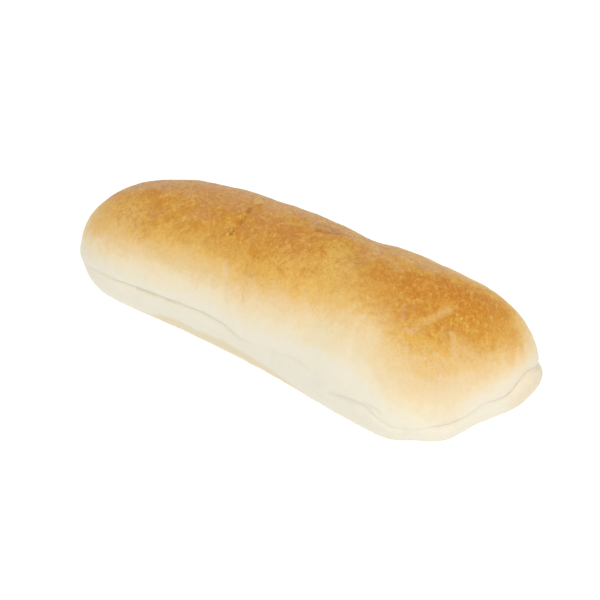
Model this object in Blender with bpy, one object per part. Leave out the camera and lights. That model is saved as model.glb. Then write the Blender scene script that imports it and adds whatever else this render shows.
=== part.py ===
"""Hoagie roll: one soft loaf of bread, in metres with +Z up.

The roll lies on its flat base with its length along X. Its blunt end points to +X and its slimmer,
rounder end to -X. A block of cells is cut, each corner of it is laid on the smooth loaf, and then
the fold above the foot, the lip of the foot and the marks on the crown are pressed in or drawn out.
"""

import bisect
import math

import bmesh
import bpy
from mathutils import Vector

MM = 0.001

# Main sizes of the loaf
LENGTH = 201.6 * MM
WIDTH = 73.1 * MM
HEIGHT = 41.5 * MM
SLIM_END = 46.0 * MM
BLUNT_END = 40.9 * MM
BULGE_HEIGHT = 9.5 * MM
BOW = 4.6 * MM

# Roundness in plan of each end, and of the crown in section: 2 is an ellipse, more is squarer
SLIM_ROUNDNESS = 2.0
BLUNT_ROUNDNESS = 3.6
CROWN_ROUNDNESS = 2.25

# Shares: flat base to full width, droop of the ends, spread to the blunt end, taper to both ends
BASE_SHARE = 0.74
END_DROOP = 0.19
BLUNT_SPREAD = 0.07
END_TAPER = 0.03

# Cells of the block: along, across, and up the walls below, through and above the fold
CELLS_LONG = 50
CELLS_WIDE = 16
FOOT_SHARES = (0.0, 0.05, 0.14, 0.28, 0.46, 0.64, 0.82)
FOLD_STEPS = (-2.6 * MM, -1.4 * MM, -0.6 * MM, 0.0, 0.35 * MM, 0.9 * MM, 2.0 * MM)
UPPER_ROWS = 11
CROWN_START = math.radians(35)

# Turns go round the roll in degrees: 0 is the slim tip, 90 the -Y side, 180 the blunt tip.
# The fold: turn, height over the base, depth, and how far the foot under it stands out (mm)
FOLD = (
    (0, 10.6, 0.3, 0.0),
    (22, 10.2, 0.2, -0.7),
    (38, 12.6, 0.6, 0.7),
    (52, 13.7, 1.3, 0.4),
    (66, 14.4, 1.6, 0.0),
    (80, 15.3, 1.4, 0.2),
    (90, 14.8, 1.3, 0.0),
    (98, 12.8, 1.1, 0.0),
    (106, 13.0, 0.2, 0.0),
    (114, 14.4, 0.7, 0.0),
    (124, 16.2, 0.6, 0.2),
    (130, 14.6, 0.1, 0.0),
    (134, 11.0, 0.1, 0.0),
    (138, 11.8, 0.7, 0.0),
    (143, 13.1, 0.9, 0.0),
    (148, 13.7, 0.8, 0.1),
    (151, 10.2, 0.5, 0.7),
    (154, 9.2, 0.8, 0.7),
    (158, 9.6, 0.4, -0.2),
    (162, 10.9, 0.5, 0.7),
    (166, 10.1, 0.8, 1.6),
    (170, 10.8, 0.8, 0.8),
    (175, 12.8, 0.9, 0.0),
    (178, 13.8, 0.9, 0.2),
    (183, 12.0, 1.0, 0.6),
    (187, 13.8, 1.0, 1.0),
    (191, 17.4, 0.8, 1.4),
    (196, 15.2, 0.7, 1.5),
    (200, 12.0, 0.8, 2.0),
    (204, 10.6, 0.8, 1.6),
    (211, 10.2, 0.7, 1.0),
    (222, 11.2, 0.5, 0.2),
    (240, 11.6, 0.3, 0.0),
    (264, 13.2, 1.2, 0.1),
    (292, 12.2, 0.3, 0.0),
    (316, 13.6, 1.2, 0.1),
    (340, 11.4, 0.5, 0.0),
)

# Uneven outline: turn and swell (mm)
SWELL = (
    (0, 0.3),
    (20, 0.2),
    (60, 0.5),
    (82, -0.6),
    (104, -0.8),
    (124, -0.2),
    (134, 0.5),
    (145, 0.2),
    (160, -0.8),
    (169, -0.5),
    (180, 1.2),
    (205, 1.5),
    (225, 0.6),
    (250, -0.9),
    (285, 0.8),
    (320, 0.2),
    (345, 1.4),
)

# Uneven crown: place along the roll and rise (mm). It slants across the roll, as rolled-up dough does
CROWN_RISE = (
    (-90, 1.5),
    (-72, -0.2),
    (-60, -0.6),
    (-35, -0.4),
    (-10, -0.1),
    (10, -0.2),
    (24, -1.2),
    (34, -1.9),
    (46, 0.1),
    (58, 0.3),
    (69, 0.9),
    (80, 0.9),
    (90, 1.6),
)
CROWN_SLANT = 0.45

# Marks pressed in the crown, slanted the same way: the score and the dimple. Each has the place
# of its middle along and across, its half length across, its half width along, and depth (mm).
# They reach down to a share of the height
CROWN_MARKS = (
    (-15.3, 2.0, 15.0, 2.8, 0.7),
    (16.3, 13.8, 4.5, 3.2, 0.6),
)
CROWN_SHARE = 0.7

# How wide the fold is under and over its line and how sharply it closes, then how the dough above
# hangs over it, and how the lip and the foot under it are rounded
FOLD_WIDTH_UNDER = 2.2 * MM
FOLD_WIDTH_OVER = 0.6 * MM
FOLD_SHARPNESS = 1.3
OVERHANG_SHARE = 0.45
OVERHANG_HEIGHT = 0.7 * MM
OVERHANG_WIDTH = 0.8 * MM
LIP_BLEND = 1.6 * MM
FOOT_BLEND = 4.0 * MM

CRUST_COLOUR = (0.66, 0.39, 0.15, 1.0)
CRUST_ROUGHNESS = 0.62

HALF_STRAIGHT = (CELLS_LONG - CELLS_WIDE) // 2
HALF_WIDE = CELLS_WIDE // 2
STATIONS = 2 * (CELLS_LONG + CELLS_WIDE)
WALL_ROWS = len(FOOT_SHARES) + len(FOLD_STEPS) + UPPER_ROWS - 1


def clear_scene():
    for obj in list(bpy.data.objects):
        bpy.data.objects.remove(obj, do_unlink=True)


def clamp(value, low=0.0, high=1.0):
    return min(max(value, low), high)


def ease(share):
    share = clamp(share)
    return share * share * (3 - 2 * share)


def curve_through(places, values, at):
    """The value at a place on a smooth cubic curve through unevenly spaced knots."""
    i = min(max(bisect.bisect_right(places, at) - 1, 1), len(places) - 3)
    span = places[i + 1] - places[i]
    u = (at - places[i]) / span
    start_slope = (values[i + 1] - values[i - 1]) / (places[i + 1] - places[i - 1]) * span
    end_slope = (values[i + 2] - values[i]) / (places[i + 2] - places[i]) * span
    return (
        (2 * u**3 - 3 * u**2 + 1) * values[i]
        + (u**3 - 2 * u**2 + u) * start_slope
        + (3 * u**2 - 2 * u**3) * values[i + 1]
        + (u**3 - u**2) * end_slope
    )


def round_the_roll(table, column, turn):
    """A column of a table of turns, carried smoothly once round the roll."""
    places = [row[0] for row in table]
    values = [row[column] * MM for row in table]
    places = [place - 360 for place in places[-2:]] + places + [place + 360 for place in places[:3]]
    values = values[-2:] + values + values[:3]
    return curve_through(places, values, turn)


def along_the_roll(table, x):
    """The second column of a table of places along the roll, level past its ends."""
    places = [row[0] * MM for row in table]
    values = [row[1] * MM for row in table]
    places = [2 * places[0] - places[1]] + places + [2 * places[-1] - places[-2]]
    values = [values[0]] + values + [values[-1]]
    return curve_through(places, values, clamp(x, places[1], places[-2]))


def crown_dip(x, y):
    """How deep the marks on the crown are at a place in plan."""
    slanted_x = x + CROWN_SLANT * y
    dip = 0.0
    for mark in CROWN_MARKS:
        mark_x, mark_y, half_length, half_width, depth = (value * MM for value in mark)
        along = (slanted_x - mark_x - CROWN_SLANT * mark_y) / half_width
        across = (y - mark_y) / half_length
        dip += depth * math.exp(-(along**2) - across**4)
    return dip


def superellipse(across, up, roundness):
    """Radius of a superellipse in the direction (across, up)."""
    return (abs(across) ** roundness + abs(up) ** roundness) ** (-1 / roundness)


def section_at(angle):
    """Share of the full width, and height, at an angle up the section: -90 base edge, 90 ridge."""
    if angle < 0:
        return BASE_SHARE + (1 - BASE_SHARE) * math.cos(angle), BULGE_HEIGHT * (1 + math.sin(angle))
    radius = superellipse(math.cos(angle), math.sin(angle), CROWN_ROUNDNESS)
    height = BULGE_HEIGHT + (HEIGHT - BULGE_HEIGHT) * radius * math.sin(angle)
    return radius * math.cos(angle), height


def angle_at(height):
    """The section's angle at a height over the base."""
    if height < BULGE_HEIGHT:
        return math.asin(clamp(height / BULGE_HEIGHT - 1, -1, 0))
    up = clamp((height - BULGE_HEIGHT) / (HEIGHT - BULGE_HEIGHT))
    return math.atan2(up, (1 - up**CROWN_ROUNDNESS) ** (1 / CROWN_ROUNDNESS))


def wall_angles(turn):
    """The section angles of the wall's rows of cells, which close up round the fold."""
    fold_height = round_the_roll(FOLD, 1, turn)
    angles = [angle_at((fold_height + FOLD_STEPS[0]) * share) for share in FOOT_SHARES]
    angles += [angle_at(fold_height + step) for step in FOLD_STEPS]
    over_fold = angles[-1]
    rise = (CROWN_START - over_fold) / UPPER_ROWS
    return angles + [over_fold + rise * row for row in range(1, UPPER_ROWS + 1)]


def end_angle(out, across):
    """Plan angle of a cell of a half-square end laid on a half-round one: 0 at the tip."""
    quarter = math.pi / 4
    if abs(across) <= out:
        return quarter * across / out
    return math.copysign(math.pi / 2 - quarter * out / abs(across), across)


class Column:
    """Where a column of cells stands in plan: its turn, its spine point and its reach from it."""

    def __init__(self, cell_x, cell_y):
        out = max(abs(cell_x) - HALF_STRAIGHT, 0)
        self.ring = max(out, abs(cell_y)) / HALF_WIDE
        slim = cell_x < 0
        side = -1 if slim else 1
        straight = min(max(cell_x, -HALF_STRAIGHT), HALF_STRAIGHT)
        angle = end_angle(out, cell_y) if out else math.copysign(math.pi / 2, cell_y or 1)
        roundness = SLIM_ROUNDNESS if slim else BLUNT_ROUNDNESS
        radius = superellipse(math.cos(angle), math.sin(angle), roundness) if out else 1.0
        length = SLIM_END if slim else BLUNT_END
        self.turn = self.turn_of(slim, out, straight, angle)
        swell = 1 + round_the_roll(SWELL, 1, self.turn) / (WIDTH / 2)
        self.reach_x = side * length * math.cos(angle) * radius * swell if out else 0.0
        self.reach_y = WIDTH / 2 * math.sin(angle) * radius * swell
        spine_start = -LENGTH / 2 + SLIM_END
        spine_length = LENGTH - SLIM_END - BLUNT_END
        self.spine_x = spine_start + spine_length * (straight + HALF_STRAIGHT) / (2 * HALF_STRAIGHT)

    @staticmethod
    def turn_of(slim, out, straight, angle):
        quarter = CELLS_WIDE * angle / (math.pi / 2)
        if out and slim:
            station = -quarter
        elif out:
            station = STATIONS / 2 + quarter
        elif angle < 0:
            station = CELLS_WIDE + straight + HALF_STRAIGHT
        else:
            station = STATIONS - CELLS_WIDE - straight - HALF_STRAIGHT
        return station % STATIONS * 360 / STATIONS


def on_smooth_loaf(column, share, height):
    """The point of the smooth loaf at a share of a column's reach and a height in the section."""
    x = column.spine_x + share * column.reach_x
    y = share * column.reach_y
    along = x / (LENGTH / 2)
    rise = along_the_roll(CROWN_RISE, x + CROWN_SLANT * y) * clamp(height / HEIGHT) ** 2
    z = height * (1 - END_DROOP * abs(along) ** 3) + rise
    y = y * (1 + BLUNT_SPREAD * along) * (1 - END_TAPER * along**2) + BOW * (1 - along**2)
    if height > CROWN_SHARE * HEIGHT:
        z -= crown_dip(x, y)
    return Vector((x, y, z))


def fold_relief(turn, height):
    """How far the fold and the foot's lip move the wall outwards, and how far it sags."""
    under = round_the_roll(FOLD, 1, turn) - height
    depth = max(round_the_roll(FOLD, 2, turn), 0.0)
    width = FOLD_WIDTH_UNDER if under > 0 else FOLD_WIDTH_OVER
    groove = depth * math.exp(-((abs(under) / width) ** FOLD_SHARPNESS))
    foot = clamp(height / FOOT_BLEND)
    lip = round_the_roll(FOLD, 3, turn) * ease(under / LIP_BLEND) * foot * (2 - foot)
    sag = OVERHANG_SHARE * depth * math.exp(-(((-under - OVERHANG_HEIGHT) / OVERHANG_WIDTH) ** 2))
    return lip - groove, sag


def cut_block():
    """A block of unit cells, standing on its base."""
    bm = bmesh.new()
    sides = (CELLS_LONG, CELLS_WIDE, WALL_ROWS)
    bmesh.ops.create_cube(bm, size=1.0)
    bmesh.ops.scale(bm, verts=bm.verts, vec=sides)
    bmesh.ops.translate(bm, verts=bm.verts, vec=(0, 0, WALL_ROWS / 2))
    for axis, cells in enumerate(sides):
        ends = [(edge, edge.verts[0].co[axis] - edge.verts[1].co[axis]) for edge in bm.edges]
        whole = [edge for edge, run in ends if abs(run) > cells / 2]
        bmesh.ops.subdivide_edges(bm, edges=whole, cuts=cells - 1, use_grid_fill=True)
    return bm


def lay_on_loaf(bm):
    """Moves each corner of the block onto the smooth loaf; returns what the walls need for relief."""
    columns = {}
    angles = {}
    walls = {}
    for vert in bm.verts:
        cell_x, cell_y, row = (round(value) for value in vert.co)
        if (cell_x, cell_y) not in columns:
            columns[cell_x, cell_y] = Column(cell_x, cell_y)
        column = columns[cell_x, cell_y]
        if column.ring == 1:
            if column.turn not in angles:
                angles[column.turn] = wall_angles(column.turn)
            share, height = section_at(angles[column.turn][row])
            walls[vert] = (column.turn, height)
        elif row == 0:
            share, height = BASE_SHARE * column.ring, 0.0
        else:
            share, height = section_at(math.pi / 2 - (math.pi / 2 - CROWN_START) * column.ring)
        vert.co = on_smooth_loaf(column, share, height)
    return walls


def press_fold(bm, walls):
    bm.normal_update()
    moves = {}
    for vert, (turn, height) in walls.items():
        outwards, sag = fold_relief(turn, height)
        moves[vert] = vert.normal * outwards - Vector((0, 0, sag))
    for vert, move in moves.items():
        vert.co += move


def flatten_base(bm):
    """The base lies on z = 0, and the middle of the roll's box is over the origin."""
    for vert in bm.verts:
        vert.co.z = max(vert.co.z, 0.0)
    xs = [vert.co.x for vert in bm.verts]
    ys = [vert.co.y for vert in bm.verts]
    middle = Vector(((min(xs) + max(xs)) / 2, (min(ys) + max(ys)) / 2, 0))
    bmesh.ops.translate(bm, verts=bm.verts, vec=-middle)


def crust_material():
    material = bpy.data.materials.new("crust")
    material.use_nodes = True
    shader = material.node_tree.nodes["Principled BSDF"]
    shader.inputs["Base Color"].default_value = CRUST_COLOUR
    shader.inputs["Roughness"].default_value = CRUST_ROUGHNESS
    shader.inputs["Metallic"].default_value = 0.0
    material.diffuse_color = CRUST_COLOUR
    return material


def make_roll():
    bm = cut_block()
    walls = lay_on_loaf(bm)
    press_fold(bm, walls)
    flatten_base(bm)
    bmesh.ops.recalc_face_normals(bm, faces=bm.faces)
    mesh = bpy.data.meshes.new("roll")
    bm.to_mesh(mesh)
    bm.free()
    mesh.shade_smooth()
    mesh.materials.append(crust_material())
    roll = bpy.data.objects.new("roll", mesh)
    bpy.context.scene.collection.objects.link(roll)
    return roll


clear_scene()
make_roll()
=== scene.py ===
"""Hoagie roll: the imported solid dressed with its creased, mottled crust, in soft studio light.

Sizes and places are in millimetres where a comment says so, and in metres otherwise. The roll lies
along X with its blunt end at +X; the shown side faces -Y and +X.
"""

import math

import bpy
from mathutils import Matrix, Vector


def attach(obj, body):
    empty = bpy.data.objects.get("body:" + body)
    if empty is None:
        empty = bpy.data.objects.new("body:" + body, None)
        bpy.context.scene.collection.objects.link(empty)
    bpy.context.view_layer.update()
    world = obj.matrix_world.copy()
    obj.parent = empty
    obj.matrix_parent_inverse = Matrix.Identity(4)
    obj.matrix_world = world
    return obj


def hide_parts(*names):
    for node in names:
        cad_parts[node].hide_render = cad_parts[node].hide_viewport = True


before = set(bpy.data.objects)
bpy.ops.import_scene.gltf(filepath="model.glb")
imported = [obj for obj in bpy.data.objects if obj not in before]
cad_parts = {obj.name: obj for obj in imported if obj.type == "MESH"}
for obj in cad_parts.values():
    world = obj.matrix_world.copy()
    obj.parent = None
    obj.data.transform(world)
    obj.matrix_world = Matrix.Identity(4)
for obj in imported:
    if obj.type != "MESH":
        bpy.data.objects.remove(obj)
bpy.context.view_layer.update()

MM = 0.001

# The shown view: the camera's turn and height round the roll in degrees and its distance (mm), then
# the point that it aims at: its height, and how far right of and above the roll's middle it is (mm)
CAMERA_TURN = 44.933
CAMERA_RISE = 26.054
CAMERA_DISTANCE = 548.362
CAMERA_AIM_HEIGHT = 20.0
CAMERA_AIM_RIGHT = 5.93
CAMERA_AIM_UP = -7.969

# Its lens and the width of its frame (mm), and the nearest and farthest that it shows (m)
CAMERA_LENS = 90.0
CAMERA_FRAME = 36.0
CAMERA_NEAR = 0.05
CAMERA_FAR = 20.0

WORLD_STRENGTH = 0.62

# Soft lights: each one's energy (W), then its size, place and the point that it shines at (m)
LIGHTS = {
    "key": (4.22, 0.9, (0.36, -0.36, 0.84), (0, 0, 0)),
    "fill": (0.92, 0.8, (0.85, -0.2, 0.38), (0, 0, 0.02)),
}

FLOOR_SIZE = 6.0
FLOOR_DROP = 0.0002
FLOOR_GREY = 0.25
FLOOR_ROUGHNESS = 0.9
FLOOR_GLOW = 0.86

MERGE_GAP = 0.00001
QUAD_ANGLE = math.radians(60)
SMOOTH_STEPS = 2

# A vertex that moves by a smaller share than this is left out, and a mark ends this many half
# widths off its line
FAINT = 0.004
MARK_REACH = 3

# The fold's edges are eased over heights that set in at the first pair and end at the second (mm),
# fully round the blunt end, which sets in along the roll at the third (mm), and by a share elsewhere
SOFT_FOOT = (3.0, 7.0)
SOFT_TOP = (24.0, 19.0)
SOFT_BLUNT_END = (70.0, 84.0)
SOFT_SIDES = 0.45
SOFT_FACTOR = 0.5
SOFT_ROUNDS = 24

# Heights over the base (mm) between which the skin comes free to move
BASE_EDGE = (0.4, 3.0)

# The skin's gentle unevenness: size and height from low to high (mm), then detail
LUMPS = {
    "broad_lumps": (17.0, 0.9, 1),
    "small_lumps": (5.0, 0.45, 2),
}
MIDDLE_GREY = 0.5


def tone(*colour):
    """A colour given as it looks on a screen, 0 to 255, as the shader's linear numbers."""
    shares = [part / 255 for part in colour]
    return tuple(s / 12.92 if s <= 0.04045 else ((s + 0.055) / 1.055) ** 2.4 for s in shares) + (1.0,)


def grey(value):
    """A grey as the shader's linear numbers."""
    return (value, value, value, 1.0)


WHITE = grey(1.0)

# ---------------------------------------------------------------- the roll's form


def deselect_all():
    bpy.ops.object.select_all(action="DESELECT")


def take_up(piece):
    """Makes a piece the only one selected, and the active one."""
    deselect_all()
    piece.select_set(True)
    bpy.context.view_layer.objects.active = piece


def copy_of_solid(node, name):
    """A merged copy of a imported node's mesh, with its pairs of triangles joined to quads."""
    piece = bpy.data.objects.new(name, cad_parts[node].data.copy())
    bpy.context.scene.collection.objects.link(piece)
    piece.data.materials.clear()
    take_up(piece)
    bpy.ops.object.mode_set(mode="EDIT")
    bpy.ops.mesh.select_all(action="SELECT")
    bpy.ops.mesh.remove_doubles(threshold=MERGE_GAP)
    bpy.ops.mesh.tris_convert_to_quads(face_threshold=QUAD_ANGLE, shape_threshold=QUAD_ANGLE)
    bpy.ops.mesh.faces_shade_smooth()
    bpy.ops.object.mode_set(mode="OBJECT")
    return piece


def apply(piece, modifier):
    take_up(piece)
    bpy.ops.object.modifier_apply(modifier=modifier.name)


def smooth_down(piece, steps):
    rounding = piece.modifiers.new("rounding", "SUBSURF")
    rounding.levels = steps
    rounding.render_levels = steps
    apply(piece, rounding)


def ease(share):
    share = min(max(share, 0.0), 1.0)
    return share * share * (3 - 2 * share)


def between(low, high, value):
    return ease((value - low) / (high - low))


def off_line(place, line):
    """Distance in mm from a place to a line through points."""
    nearest = math.inf
    for start, end in zip(line, line[1:]):
        run = end - start
        share = min(max((place - start).dot(run) / run.length_squared, 0.0), 1.0)
        nearest = min(nearest, (place - start - run * share).length)
    return nearest


def press(piece, name, weight_at, depth, texture=None, middle=0.0):
    """Moves the skin in by a depth (mm) where weight_at says so; a texture makes it uneven."""
    group = piece.vertex_groups.new(name=name)
    for vert in piece.data.vertices:
        weight = weight_at(vert.co / MM)
        if weight > FAINT:
            group.add([vert.index], min(weight, 1.0), "REPLACE")
    push = piece.modifiers.new(name, "DISPLACE")
    push.vertex_group = name
    push.mid_level = middle
    push.strength = -depth * MM
    if texture:
        push.texture = texture
        push.texture_coords = "LOCAL"
    apply(piece, push)
    piece.vertex_groups.remove(piece.vertex_groups[name])


def lumpy(name, size, detail):
    """Soft lumps of a size (mm) about middle grey."""
    texture = bpy.data.textures.new(name, "CLOUDS")
    texture.noise_scale = size * MM
    texture.noise_depth = detail
    texture.noise_type = "SOFT_NOISE"
    return texture


def off_base(place):
    """1 over the whole skin but the flat base, where nothing moves."""
    return between(*BASE_EDGE, place.z)


# Marks in the skin, as points (mm), half width and depth (mm); a depth below 0 stands out
MARKS = {
    "score": (((-20.0, 4.5, 41.1), (-16.0, -4.5, 41.2), (-11.8, -15.0, 39.0)), 0.9, 0.38),
    "score_lip": (((-20.5, 2.0, 41.2), (-17.5, -5.0, 41.0), (-15.0, -10.5, 40.0)), 1.1, -0.22),
    "dimple": (((13.0, 11.5, 40.3), (16.5, 10.0, 40.3)), 2.6, 0.4),
    "scrape": (((77.5, -16.5, 34.7), (79.5, -3.5, 35.7)), 1.6, 0.25),
    "scrape_rim": (((81.5, -14.5, 33.8), (82.5, -3.5, 34.6)), 1.2, -0.2),
    "pleat_a": (
        ((-4.6, -25.0, 33.1), (-0.4, -28.5, 29.4), (1.9, -30.7, 26.3), (3.4, -32.2, 23.4)),
        1.0,
        0.35,
    ),
    "pleat_b": (
        ((4.6, -22.5, 35.3), (7.9, -27.1, 31.4), (9.4, -30.0, 27.8), (11.6, -32.1, 24.3)),
        1.0,
        0.4,
    ),
    "crease_a": (
        ((27.4, -35.5, 13.9), (36.0, -36.0, 15.0), (44.2, -36.4, 15.2), (51.0, -37.3, 15.2)),
        1.1,
        0.25,
    ),
    "crease_b": (
        ((60.0, -37.7, 11.0), (66.0, -37.5, 12.1), (73.2, -37.7, 12.3), (77.0, -37.9, 12.4)),
        1.0,
        0.4,
    ),
    "crease_c": (((75.0, -38.1, 13.2), (78.0, -38.1, 13.0), (80.4, -37.8, 12.4)), 0.8, 0.55),
    "pinch": (((89.4, -34.6, 9.0), (88.9, -34.4, 7.0), (87.6, -34.5, 4.2)), 1.0, 0.35),
    "pleat_c": (((62.0, -28.0, 31.5), (66.0, -33.0, 25.0), (68.0, -36.0, 18.0)), 1.8, 0.4),
}


def press_mark(piece, name):
    points, half_width, depth = MARKS[name]
    line = [Vector(point) for point in points]

    def weight_at(place):
        share = off_line(place, line) / half_width
        return math.exp(-share * share) if share < MARK_REACH else 0.0

    press(piece, name, weight_at, depth)


def soften_fold(piece):
    """Eases the fold's edges, most of all round the blunt end."""
    group = piece.vertex_groups.new(name="soft")
    for vert in piece.data.vertices:
        place = vert.co / MM
        weight = between(*SOFT_FOOT, place.z) * between(*SOFT_TOP, place.z)
        at_end = between(*SOFT_BLUNT_END, place.x)
        if weight > FAINT:
            weight *= SOFT_SIDES + (1 - SOFT_SIDES) * at_end
            group.add([vert.index], weight, "REPLACE")
    rounding = piece.modifiers.new("soft", "SMOOTH")
    rounding.vertex_group = "soft"
    rounding.factor = SOFT_FACTOR
    rounding.iterations = SOFT_ROUNDS
    apply(piece, rounding)
    piece.vertex_groups.remove(piece.vertex_groups["soft"])


def model_roll():
    roll = copy_of_solid("roll", "roll_crust")
    smooth_down(roll, SMOOTH_STEPS)
    soften_fold(roll)
    for name in MARKS:
        press_mark(roll, name)
    for name, (size, height, detail) in LUMPS.items():
        press(roll, name, off_base, height, lumpy(name, size, detail), MIDDLE_GREY)
    return roll


# ---------------------------------------------------------------- the crust's finish


class Strand:
    """One value or colour on its way through a material's nodes; sums and products add nodes."""

    def __init__(self, bench, socket):
        self.bench = bench
        self.socket = socket

    def math(self, operation, *others):
        return self.bench.math(operation, self, *others)

    def __add__(self, other):
        return self.math("ADD", other)

    __radd__ = __add__

    def __mul__(self, other):
        return self.math("MULTIPLY", other)

    __rmul__ = __mul__

    def __sub__(self, other):
        return self.math("SUBTRACT", other)

    def __rsub__(self, other):
        return self.bench.math("SUBTRACT", other, self)

    def __truediv__(self, other):
        return self.math("DIVIDE", other)

    def __rtruediv__(self, other):
        return self.bench.math("DIVIDE", other, self)

    def at_least(self, other):
        return self.math("MAXIMUM", other)

    def at_most(self, other):
        return self.math("MINIMUM", other)

    def clamped(self):
        return self.at_least(0.0).at_most(1.0)

    def eased(self, low, high):
        """0 on low's side, 1 on high's side, and smooth between; high may be below low."""
        if high < low:
            return 1.0 - self.eased(high, low)
        settings = {"interpolation_type": "SMOOTHSTEP", "clamp": False}
        sockets = {"Value": self, "From Min": low, "From Max": high}
        return self.bench.node("ShaderNodeMapRange", settings, sockets)

    def ramp(self, stops, low, high, smoothness="EASE"):
        """Colours met between low and high; each stop is a value and a colour."""
        share = (self - low) / (high - low)
        placed = [((value - low) / (high - low), colour) for value, colour in stops]
        settings = {"stops": placed, "smoothness": smoothness}
        return self.bench.node("ShaderNodeValToRGB", settings, {"Fac": share})

    def under(self, colour, share):
        """This colour with another laid over it by a share."""
        sockets = {0: share, 6: self, 7: colour}
        return self.bench.node("ShaderNodeMix", {"data_type": "RGBA"}, sockets, 2)

    def shaded(self, share):
        """This colour made lighter or darker by a share."""
        sockets = {0: self, "Scale": share}
        return self.bench.node("ShaderNodeVectorMath", {"operation": "SCALE"}, sockets)


class Bench:
    """Where the nodes of one material are laid out."""

    def __init__(self, material):
        material.use_nodes = True
        self.tree = material.node_tree
        self.tree.nodes.clear()

    def node(self, kind, settings=None, sockets=None, output=0):
        """Adds a node, its settings first and then its sockets' values or links; gives its output."""
        made = self.tree.nodes.new(kind)
        settings = dict(settings or {})
        stops = settings.pop("stops", None)
        smoothness = settings.pop("smoothness", None)
        for name, value in settings.items():
            setattr(made, name, value)
        if stops:
            self.lay_stops(made.color_ramp, stops, smoothness)
        for name, value in (sockets or {}).items():
            if isinstance(value, Strand):
                self.tree.links.new(value.socket, made.inputs[name])
            else:
                made.inputs[name].default_value = value
        return Strand(self, made.outputs[output]) if made.outputs else made

    @staticmethod
    def lay_stops(ramp, stops, smoothness):
        ramp.interpolation = smoothness
        while len(ramp.elements) > 1:
            ramp.elements.remove(ramp.elements[-1])
        ramp.elements[0].position = stops[0][0]
        ramp.elements[0].color = stops[0][1]
        for position, colour in stops[1:]:
            ramp.elements.new(position).color = colour

    def mapped(self, place, turn, scale):
        """A place turned about the upright axis by degrees, then scaled."""
        sockets = {"Vector": place, "Rotation": (0.0, 0.0, math.radians(turn))}
        turned = self.node("ShaderNodeMapping", {}, sockets)
        return self.node("ShaderNodeMapping", {}, {"Vector": turned, "Scale": scale})

    def axes(self, place):
        """A place's x, y and z."""
        return [self.node("ShaderNodeSeparateXYZ", {}, {0: place}, output) for output in range(3)]

    def math(self, operation, *values):
        return self.node("ShaderNodeMath", {"operation": operation}, dict(enumerate(values)))

    def vector(self, operation, *vectors, output=0):
        sockets = dict(enumerate(vectors))
        return self.node("ShaderNodeVectorMath", {"operation": operation}, sockets, output)

    def noise(self, place, size, detail, roughness, twist):
        """Even noise about 0, from -1 to 1, with lumps of a size in mm."""
        sockets = {
            "Vector": place,
            "Scale": 1 / size,
            "Detail": detail,
            "Roughness": roughness,
            "Distortion": twist,
        }
        return self.node("ShaderNodeTexNoise", {}, sockets) * 2.0 - 1.0

    def spots(self, place, size, smoothness=0.0):
        """Distance to the nearest of scattered points, in shares of their spacing (mm)."""
        settings = {"feature": "SMOOTH_F1"} if smoothness else {"feature": "F1"}
        sockets = {"Vector": place, "Scale": 1 / size, "Randomness": 1.0}
        if smoothness:
            sockets["Smoothness"] = smoothness
        return self.node("ShaderNodeTexVoronoi", settings, sockets)

    def cells(self, place, size):
        """One even value for each of scattered cells, from -1 to 1."""
        sockets = {"Vector": place, "Scale": 1 / size, "Randomness": 1.0}
        tint = self.node("ShaderNodeTexVoronoi", {"feature": "F1"}, sockets, 1)
        return self.node("ShaderNodeSeparateColor", {}, {0: tint}) * 2.0 - 1.0

    def streak(self, place, start, end, half_width, ragged):
        """1 on a line between two places (mm), falling to 0 at about a half width, more or less.

        A narrow streak is less ragged than a wide one.
        """
        run = Vector(end) - Vector(start)
        off_start = self.vector("SUBTRACT", place, start)
        along = self.vector("DOT_PRODUCT", off_start, tuple(run), output=1) / run.length_squared
        sockets = {0: tuple(run), "Scale": along.clamped()}
        foot = self.node("ShaderNodeVectorMath", {"operation": "SCALE"}, sockets)
        distance = self.vector("DISTANCE", off_start, foot, output=1)
        raggedness = min(half_width / WIDE_STREAK, 1.0)
        return ragged.math("MULTIPLY_ADD", raggedness, distance / half_width).eased(*STREAK_EDGE)


# The line where browning sets in: place along the roll and height over the base (mm)
BROWNING_LINE = (
    (-102, 27.0),
    (-88, 24.0),
    (-70, 25.5),
    (-45, 27.0),
    (-25, 28.6),
    (-6, 29.6),
    (14, 28.6),
    (36, 31.0),
    (58, 33.2),
    (70, 31.4),
    (82, 25.9),
    (92, 21.9),
    (102, 19.8),
)

# Its ramp of greys holds heights up to this one, and ends this far from the roll's middle (mm)
BROWNING_TOP = 50.0
BROWNING_END = 104.0

# Crust colours from the pale foot to the browned crown, by height over that line (mm)
CRUST_COLOURS = (
    (-22.0, tone(231, 226, 208)),
    (-12.0, tone(234, 227, 207)),
    (-7.0, tone(236, 223, 192)),
    (-3.5, tone(236, 215, 174)),
    (-0.5, tone(235, 206, 155)),
    (2.5, tone(233, 195, 128)),
    (5.5, tone(225, 177, 82)),
    (8.5, tone(214, 155, 46)),
    (13.0, tone(206, 141, 36)),
)

# The ends of their ramp (mm)
CRUST_LOW = -24.0
CRUST_HIGH = 16.0

# The crust's fine grain is drawn out slantwise across the roll: by this turn (degrees) and share
GRAIN_TURN = -45.0
GRAIN_SHORTENING = 0.55

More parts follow.
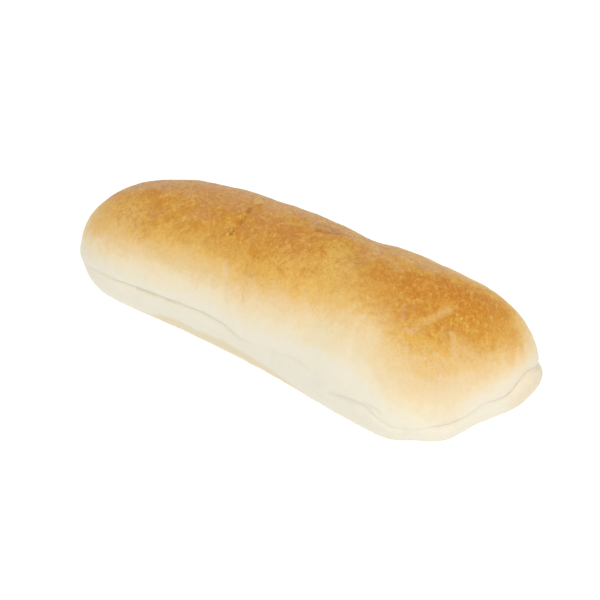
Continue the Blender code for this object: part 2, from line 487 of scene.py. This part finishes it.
# The crust's noises: size (mm), detail, roughness and twist
BROAD_BROWNING = (24.0, 1.0, 0.5, 0.0)
BLOTCHES = (6.5, 2.0, 0.6, 0.0)
BROWNING_GRAIN = (1.3, 2.0, 0.65, 0.0)
RAGGED_EDGES = (3.0, 2.0, 0.6, 0.0)
MOTTLE = (2.8, 1.5, 0.5, 0.8)
GRAINS = (1.2, 2.0, 0.6, 1.2)
# lines for the painted highlights on the crust's wrinkles
WRINKLE_HIGHLIGHTS = (2.4, 1.5, 0.5, 2.0)
SPECK_GROUPS = (5.0, 2.0, 0.5, 0.0)
PITS = (1.0, 2.0, 0.6, 0.0)
TOAST_RISE = (9.0, 2.0, 0.5, 0.0)
TRAY_MARKS = (3.0, 3.0, 0.65, 0.0)
PEBBLES = (0.8, 3.0, 0.7, 0.0)
FLOUR = (2.4, 3.0, 0.6, 0.0)

# Spacing of its scattered spots (mm)
CELL_SPACING = 1.0
SPECK_SPACING = 1.7
BLISTER_SPACING = 1.6

# Clouds in the brown: noise, colour and strength. Each is a step (mm) off the last, and all set in
# between these heights over the browning line (mm)
BROWN_CLOUDS = (
    ((11.0, 1.5, 0.5, 0.6), tone(206, 150, 104), 0.4),
    ((8.0, 1.5, 0.5, 0.6), tone(212, 138, 44), 0.5),
    ((6.0, 1.5, 0.5, 0.6), tone(228, 178, 82), 0.5),
)
CLOUD_STEP = 40.0
CLOUD_HEIGHTS = (1.0, 8.0)

# Tints in the brown: colour, the heights over the browning line between which it sets in (mm), and
# strength
TINTS = {
    # the far edge's tint is painted sheen, a pale grey veil where the crown turns away
    "far_side_sheen": (tone(208, 168, 126), (0.0, 6.0), 0.6),
    "light_mottle": (tone(236, 184, 88), (1.0, 7.0), 0.45),
    "dark_mottle": (tone(198, 122, 30), (2.0, 9.0), 0.45),
    "light_grain": (tone(238, 190, 96), (-1.0, 5.0), 0.55),
    "dark_grain": (tone(196, 124, 32), (2.0, 9.0), 0.5),
    # the wrinkle tint is painted highlight along the crests of the crust's wrinkles
    "wrinkle_highlight": (tone(234, 182, 98), (1.0, 7.0), 0.22),
    "speck": (tone(246, 208, 130), (-3.0, 1.0), 0.6),
    "pit": (tone(180, 104, 24), (3.0, 10.0), 0.4),
}

# A streak fades out at the first of these shares of its half width, and is full at the second. One
# that is narrower than this half width (mm) has less ragged edges
STREAK_EDGE = (1.25, 0.1)
WIDE_STREAK = 4.0

# The base: toasted low on the sides, at its rim and under the roll, and where the tray marked it; the
# rim is also darker as painted shade against the glowing floor
TOAST = tone(224, 208, 174)
# the rim's colour is partly toast and partly painted shade
RIM_TOAST_AND_SHADE = tone(212, 198, 166)
UNDERSIDE = tone(206, 158, 98)
TRAY_MARK = tone(184, 132, 74)

# The skin's relief: its strength, and its depth (m)
SKIN_STRENGTH = 0.9
SKIN_DEPTH = 0.0003

# Places of a colour of their own: a line's start and end and its half width (mm), colour, strength
CRUST_PATCHES = (
    # the rich bake by the blunt end, the paler middle and slim end, patches of tan and gold, and
    # painted shade on the blunt end's near corner
    ((56.0, -4.0, 40.5), (79.0, 5.0, 36.0), 17.0, tone(204, 127, 16), 0.86),
    ((22.0, -16.0, 37.5), (50.0, -18.0, 37.0), 13.0, tone(238, 191, 102), 0.6),
    ((-36.0, -26.0, 32.0), (0.0, -26.0, 33.0), 9.0, tone(234, 190, 102), 0.5),
    ((-84.0, -20.0, 27.0), (-62.0, -26.0, 31.0), 14.0, tone(230, 190, 122), 0.55),
    ((-8.0, -2.0, 41.5), (16.0, -9.0, 40.0), 8.0, tone(203, 130, 54), 0.6),
    ((-58.0, 0.0, 40.0), (-26.0, 3.0, 41.3), 9.0, tone(205, 148, 92), 0.65),
    ((-14.0, 8.0, 41.3), (2.0, 12.0, 41.0), 6.0, tone(208, 160, 114), 0.55),
    ((-84.0, -11.0, 33.0), (-65.0, 0.0, 39.0), 7.5, tone(203, 163, 130), 0.6),
    ((69.0, 7.0, 38.6), (87.0, 16.5, 31.0), 5.0, tone(198, 122, 32), 0.7),
    ((58.0, -14.0, 38.5), (68.0, -18.0, 36.0), 7.0, tone(214, 150, 56), 0.4),
    ((88.0, 16.0, 31.0), (94.0, 14.0, 26.0), 6.0, tone(214, 152, 50), 0.6),
    ((71.0, -13.0, 37.2), (79.0, -3.0, 36.2), 6.0, tone(204, 132, 30), 0.65),
    ((-14.0, -20.0, 36.6), (-4.0, -22.0, 35.8), 5.0, tone(208, 150, 60), 0.5),
    ((-37.0, -20.0, 36.7), (-27.0, -22.5, 35.0), 5.0, tone(211, 156, 68), 0.55),
    ((-12.0, -9.0, 40.6), (-2.0, -13.0, 40.0), 5.0, tone(196, 128, 60), 0.5),
    # painted shade: darkens the blunt end's near corner, which the fill light lights too brightly
    ((84.0, -30.0, 25.0), (95.0, -23.0, 19.0), 12.0, tone(224, 203, 166), 0.35),
    ((86.0, -8.0, 31.8), (92.4, -14.2, 25.9), 1.5, tone(238, 206, 150), 0.45),
    ((94.0, -15.6, 23.9), (93.6, -16.4, 24.6), 2.8, tone(230, 186, 108), 0.5),
    ((87.3, -25.0, 26.7), (87.8, -26.0, 25.6), 2.8, tone(230, 186, 108), 0.5),
    ((100.0, 24.0, 9.0), (99.0, 10.0, 7.0), 9.0, tone(228, 208, 170), 0.6),
    ((-79.0, -26.0, 25.5), (-70.0, -27.5, 28.5), 5.0, tone(226, 178, 98), 0.5),
    ((40.0, 11.5, 40.6), (60.0, 12.0, 39.8), 5.0, tone(208, 165, 118), 0.55),
    ((14.0, 17.0, 38.6), (20.0, 16.0, 38.6), 3.6, tone(208, 166, 124), 0.45),
    ((93.0, 15.0, 26.0), (97.0, 9.0, 21.5), 4.5, tone(230, 178, 98), 0.5),
    ((30.0, -15.0, 38.3), (33.0, -13.0, 38.3), 4.5, tone(212, 150, 58), 0.5),
    ((37.0, -7.0, 39.3), (40.0, -11.0, 38.8), 4.5, tone(232, 188, 102), 0.5),
    ((91.0, -9.0, 28.0), (95.5, -3.0, 21.5), 5.0, tone(231, 194, 138), 0.5),
    ((99.5, -14.0, 11.0), (98.0, 22.0, 14.0), 5.0, tone(234, 226, 212), 0.5),
    ((-42.0, -29.5, 28.0), (-2.0, -28.5, 29.0), 4.5, tone(222, 196, 140), 0.3),
    ((44.0, -32.5, 27.0), (84.0, -29.0, 27.0), 7.0, tone(230, 202, 142), 0.25),
    # painted shade: darker stretches along the fold
    ((-43.0, -33.9, 12.7), (-34.0, -33.6, 13.1), 0.8, tone(214, 196, 150), 0.25),
    ((-27.0, -33.4, 13.6), (-19.5, -33.9, 15.1), 0.8, tone(214, 196, 150), 0.4),
    # the score: a golden lip behind a thin dark line
    ((-21.0, 4.0, 41.2), (-20.9, 12.5, 40.6), 1.4, tone(186, 98, 4), 0.85),
    ((-18.6, -1.0, 41.2), (-17.6, -8.6, 40.4), 1.5, tone(216, 152, 40), 0.8),
    ((-20.6, 3.4, 41.2), (-18.3, -0.4, 41.2), 1.3, tone(144, 74, 8), 0.8),
    ((-16.6, -2.6, 41.1), (-14.0, -8.4, 40.4), 1.05, tone(150, 82, 14), 0.85),
    ((-13.4, -11.2, 40.0), (-11.8, -15.0, 38.8), 1.1, tone(140, 70, 4), 0.85),
    # the blister: greyish, with a reddish near edge and a pale rim
    ((8.5, 10.8, 40.7), (13.0, 13.0, 39.8), 3.6, tone(184, 139, 100), 0.85),
    ((12.4, 5.6, 41.1), (16.5, 11.2, 39.9), 2.7, tone(178, 102, 54), 0.9),
    ((9.1, 5.0, 41.5), (5.9, 10.6, 41.0), 0.9, tone(218, 172, 130), 0.75),
    ((5.9, 10.6, 41.0), (4.8, 17.6, 39.3), 1.0, tone(220, 182, 146), 0.8),
    # golden and orange skin round it, and the pale streak along the ridge
    ((1.5, 8.5, 41.3), (3.0, 13.4, 40.5), 2.2, tone(206, 142, 58), 0.6),
    ((26.0, 8.0, 39.6), (30.0, 4.0, 39.6), 3.6, tone(216, 164, 62), 0.7),
    ((31.0, 8.5, 39.6), (35.0, 5.0, 39.8), 2.8, tone(208, 138, 72), 0.7),
    ((28.0, 15.5, 38.3), (39.0, 8.0, 40.5), 2.2, tone(222, 188, 140), 0.6),
    ((39.0, 7.0, 40.3), (54.0, 2.0, 40.9), 2.6, tone(222, 180, 116), 0.5),
    ((27.0, 0.0, 39.8), (36.0, -14.0, 38.0), 4.4, tone(228, 188, 96), 0.6),
    # the pleats: pale, pinkish lines as painted highlight, with a darker line beside each as painted
    # shade
    ((-4.6, -25.0, 33.1), (-0.4, -28.5, 29.4), 1.2, tone(240, 206, 168), 0.5),
    ((0.0, -29.0, 28.8), (3.2, -32.0, 23.8), 0.8, tone(220, 196, 154), 0.4),
    ((5.4, -28.6, 29.4), (7.9, -31.0, 26.1), 1.2, tone(242, 208, 172), 0.5),
    ((4.9, -23.0, 35.0), (7.7, -26.9, 31.6), 1.0, tone(204, 146, 62), 0.6),
    ((8.4, -28.4, 29.8), (11.4, -32.0, 24.6), 0.8, tone(212, 178, 120), 0.4),
    # light and dark flecks by them
    ((14.7, -20.0, 37.0), (14.3, -15.8, 38.9), 0.8, tone(240, 200, 118), 0.55),
    ((17.4, -20.3, 36.8), (17.8, -17.2, 38.2), 0.8, tone(194, 124, 40), 0.6),
    ((17.0, -25.3, 33.3), (17.4, -23.3, 35.0), 0.8, tone(242, 206, 136), 0.45),
    # the scrape on the blunt end, with pinkish skin by it
    ((78.7, -12.0, 35.3), (79.2, -2.0, 35.9), 2.0, tone(234, 196, 122), 0.7),
    ((78.3, -19.0, 33.8), (78.6, -13.0, 35.1), 1.7, tone(232, 190, 118), 0.55),
    ((76.7, -20.6, 34.0), (78.8, -19.4, 33.6), 1.3, tone(232, 180, 138), 0.65),
    ((69.4, -13.2, 37.8), (72.9, -17.6, 35.9), 1.2, tone(224, 168, 112), 0.5),
)


class Crust:
    """The crust's patterns, and its colours laid one over another."""

    def __init__(self, bench):
        self.bench = bench
        metres = bench.node("ShaderNodeTexCoord", output=3)
        sockets = {"Vector": metres, "Scale": (1 / MM, 1 / MM, 1 / MM)}
        self.place = bench.node("ShaderNodeMapping", {}, sockets)
        self.x, self.y, self.z = bench.axes(self.place)
        self.slanted = bench.mapped(self.place, GRAIN_TURN, (1.0, GRAIN_SHORTENING, 1.0))
        self.over_line = self.height_over_line()
        self.browned = self.over_line.eased(-6.0, 6.0)
        self.ragged = bench.noise(self.place, *RAGGED_EDGES) * 0.9
        self.pebbles = bench.noise(self.slanted, *PEBBLES)

    def height_over_line(self):
        """Height over the browning line in mm, uneven, and less at the blunt end's far corner."""
        stops = [(along, grey(height / BROWNING_TOP)) for along, height in BROWNING_LINE]
        line = self.x.ramp(stops, -BROWNING_END, BROWNING_END, "CARDINAL") * BROWNING_TOP
        far_corner = self.x.eased(78.0, 92.0) * self.y.eased(22.0, 44.0) * 2.0
        broad = self.bench.noise(self.place, *BROAD_BROWNING) * 1.8
        blotches = self.bench.noise(self.place, *BLOTCHES) * 2.2
        grain = self.bench.noise(self.slanted, *BROWNING_GRAIN) * 2.4
        return self.z - line - far_corner + broad + blotches + grain

    def tinted(self, colour, pattern, tint, heights, strength):
        """Lays a tint where a pattern is, setting in between two heights over the browning line."""
        return colour.under(tint, pattern * self.over_line.eased(*heights) * strength)

    def clouded(self, colour):
        """Pinkish tan, orange and gold clouds, each at a place of its own."""
        for number, (noise, tint, strength) in enumerate(BROWN_CLOUDS):
            shift = (CLOUD_STEP * number, 15.0, 5.0)
            shifted = self.bench.vector("ADD", self.place, shift)
            cloud = self.bench.noise(shifted, *noise).eased(-0.05, 0.4)
            colour = self.tinted(colour, cloud, tint, CLOUD_HEIGHTS, strength)
        return colour

    def patched(self, colour):
        """Places of a colour of their own, ragged at their edges."""
        for start, end, half_width, tint, strength in CRUST_PATCHES:
            patch = self.bench.streak(self.place, start, end, half_width, self.ragged)
            colour = colour.under(tint, patch * strength)
        return colour

    def sheened_far_side(self, colour):
        """Painted sheen: the crown's far edge made duller, greyer and paler, most of all by the slim
        end.
        """
        edge = (self.x * 0.17 + 12.0).at_most(13.0)
        beyond = (self.y - edge + self.ragged * 2.0).eased(-3.0, 6.0)
        far_side_sheen = beyond * self.x.eased(78.0, 60.0) * self.z.eased(29.0, 36.0)
        return self.tinted(colour, far_side_sheen, *TINTS["far_side_sheen"])

    def grained(self, colour):
        """Grains a millimetre or two across, lighter or darker, then painted highlights along wrinkle
        lines, specks and pits.
        """
        mottle = self.bench.noise(self.slanted, *MOTTLE)
        colour = self.tinted(colour, mottle.eased(0.05, 0.5), *TINTS["light_mottle"])
        colour = self.tinted(colour, mottle.eased(-0.05, -0.5), *TINTS["dark_mottle"])
        cells = self.bench.cells(self.slanted, CELL_SPACING) * 0.22
        grains = self.bench.noise(self.slanted, *GRAINS) + cells
        colour = self.tinted(colour, grains.eased(0.0, 0.55), *TINTS["light_grain"])
        colour = self.tinted(colour, grains.eased(0.0, -0.55), *TINTS["dark_grain"])
        # painted highlight: pale lines where the crust's little wrinkles would catch the light
        wrinkle_highlights = self.bench.noise(self.slanted, *WRINKLE_HIGHLIGHTS).math("ABSOLUTE")
        colour = self.tinted(colour, wrinkle_highlights.eased(0.09, 0.0), *TINTS["wrinkle_highlight"])
        groups = self.bench.noise(self.place, *SPECK_GROUPS).eased(-0.15, 0.4)
        specks = self.bench.spots(self.slanted, SPECK_SPACING).eased(0.28, 0.14) * groups
        colour = self.tinted(colour, specks, *TINTS["speck"])
        pits = self.bench.noise(self.slanted, *PITS).eased(0.15, 0.55)
        return self.tinted(colour, pits, *TINTS["pit"])

    def toasted_with_rim_shade(self, colour):
        """The base is toasted where it met the tray, and that shows along the near bottom edge; the
        rim is also darker as painted shade.
        """
        along_middle = self.x.eased(-50.0, -18.0) * self.x.eased(58.0, 20.0)
        rise = self.bench.noise(self.place, *TOAST_RISE) * 1.2 + along_middle * 4.8
        colour = colour.under(TOAST, (self.z - rise).eased(3.8, 1.6) * 0.8)
        # painted shade: the rim is partly its toast and partly darkened against the glowing floor's
        # light
        colour = colour.under(RIM_TOAST_AND_SHADE, self.z.eased(3.6, 1.4) * 0.7)
        underside = self.z.eased(0.9, 0.1)
        colour = colour.under(UNDERSIDE, underside * 0.8)
        tray_marks = self.bench.noise(self.place, *TRAY_MARKS).eased(-0.1, 0.5)
        return colour.under(TRAY_MARK, underside * tray_marks * 0.5)

    def skin(self):
        """Fine pebbled skin, stronger where it is browned."""
        blisters = self.bench.spots(self.slanted, BLISTER_SPACING, 0.6)
        flour = self.bench.noise(self.place, *FLOUR)
        relief = self.pebbles * (0.1 + self.browned * 0.9) + blisters * self.browned * 0.8
        sockets = {
            "Strength": SKIN_STRENGTH,
            "Distance": SKIN_DEPTH,
            "Height": relief + flour * 0.22,
        }
        return self.bench.node("ShaderNodeBump", {}, sockets)


def crust_finish():
    material = bpy.data.materials.new("crust")
    bench = Bench(material)
    crust = Crust(bench)
    colour = crust.over_line.ramp(CRUST_COLOURS, CRUST_LOW, CRUST_HIGH)
    colour = crust.clouded(colour)
    colour = crust.patched(colour)
    # painted sheen along the crown's far edge
    colour = crust.sheened_far_side(colour)
    colour = crust.grained(colour)
    # toast on the base, and painted shade on its rim
    colour = crust.toasted_with_rim_shade(colour)
    sockets = {
        "Base Color": colour.shaded(1.0 + crust.pebbles * (crust.browned * 0.12 + 0.02)),
        "Roughness": 0.68 - crust.browned * 0.1 + crust.pebbles * 0.05,
        "Normal": crust.skin(),
        "Specular IOR Level": 0.2,
        "Sheen Weight": 0.14,
        "Sheen Roughness": 0.2,
        "Subsurface Weight": 0.3,
        "Subsurface Radius": (1.0, 0.8, 0.55),
        "Subsurface Scale": 0.0025,
    }
    shader = bench.node("ShaderNodeBsdfPrincipled", {}, sockets)
    bench.node("ShaderNodeOutputMaterial", {}, {"Surface": shader})
    return material


# ---------------------------------------------------------------- floor, light and camera


def floor_finish():
    """Plain white that glows a little, as on a light table."""
    material = bpy.data.materials.new("floor")
    bench = Bench(material)
    sockets = {
        "Base Color": grey(FLOOR_GREY),
        "Roughness": FLOOR_ROUGHNESS,
        "Emission Color": WHITE,
        "Emission Strength": FLOOR_GLOW,
    }
    shader = bench.node("ShaderNodeBsdfPrincipled", {}, sockets)
    bench.node("ShaderNodeOutputMaterial", {}, {"Surface": shader})
    return material


def lay_floor():
    deselect_all()
    bpy.ops.mesh.primitive_plane_add(size=FLOOR_SIZE, location=(0, 0, -FLOOR_DROP))
    floor = bpy.context.object
    floor.name = "floor"
    floor.data.materials.append(floor_finish())
    bpy.ops.object.transform_apply(location=True, rotation=True, scale=True)


def hang_light(name, energy, size, place, aim):
    """A square soft light; place and aim in metres."""
    lamp = bpy.data.lights.new(name, "AREA")
    lamp.energy = energy
    lamp.size = size
    light = bpy.data.objects.new(name, lamp)
    bpy.context.scene.collection.objects.link(light)
    light.location = place
    light.rotation_euler = (Vector(aim) - Vector(place)).to_track_quat("-Z", "Y").to_euler()


def light_studio():
    world = bpy.data.worlds.new("studio")
    bpy.context.scene.world = world
    world.use_nodes = True
    backdrop = world.node_tree.nodes["Background"]
    backdrop.inputs["Color"].default_value = WHITE
    backdrop.inputs["Strength"].default_value = WORLD_STRENGTH
    for name, light in LIGHTS.items():
        hang_light(name, *light)
    bpy.context.scene.view_settings.view_transform = "Standard"


def place_camera():
    turn = math.radians(CAMERA_TURN)
    rise = math.radians(CAMERA_RISE)
    back = Vector((math.sin(turn) * math.cos(rise), -math.cos(turn) * math.cos(rise), math.sin(rise)))
    right = Vector((math.cos(turn), math.sin(turn), 0))
    up = back.cross(right)
    aim = Vector((0, 0, CAMERA_AIM_HEIGHT)) + right * CAMERA_AIM_RIGHT + up * CAMERA_AIM_UP
    lens = bpy.data.cameras.new("camera")
    lens.lens = CAMERA_LENS
    lens.sensor_width = CAMERA_FRAME
    lens.clip_start = CAMERA_NEAR
    lens.clip_end = CAMERA_FAR
    camera = bpy.data.objects.new("camera", lens)
    bpy.context.scene.collection.objects.link(camera)
    camera.location = (aim + back * CAMERA_DISTANCE) * MM
    camera.rotation_euler = (-back).to_track_quat("-Z", "Y").to_euler()
    bpy.context.scene.camera = camera


place_camera()
light_studio()
lay_floor()
roll_crust = model_roll()
roll_crust.data.materials.append(crust_finish())
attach(roll_crust, "root")
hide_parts("roll")
deselect_all()
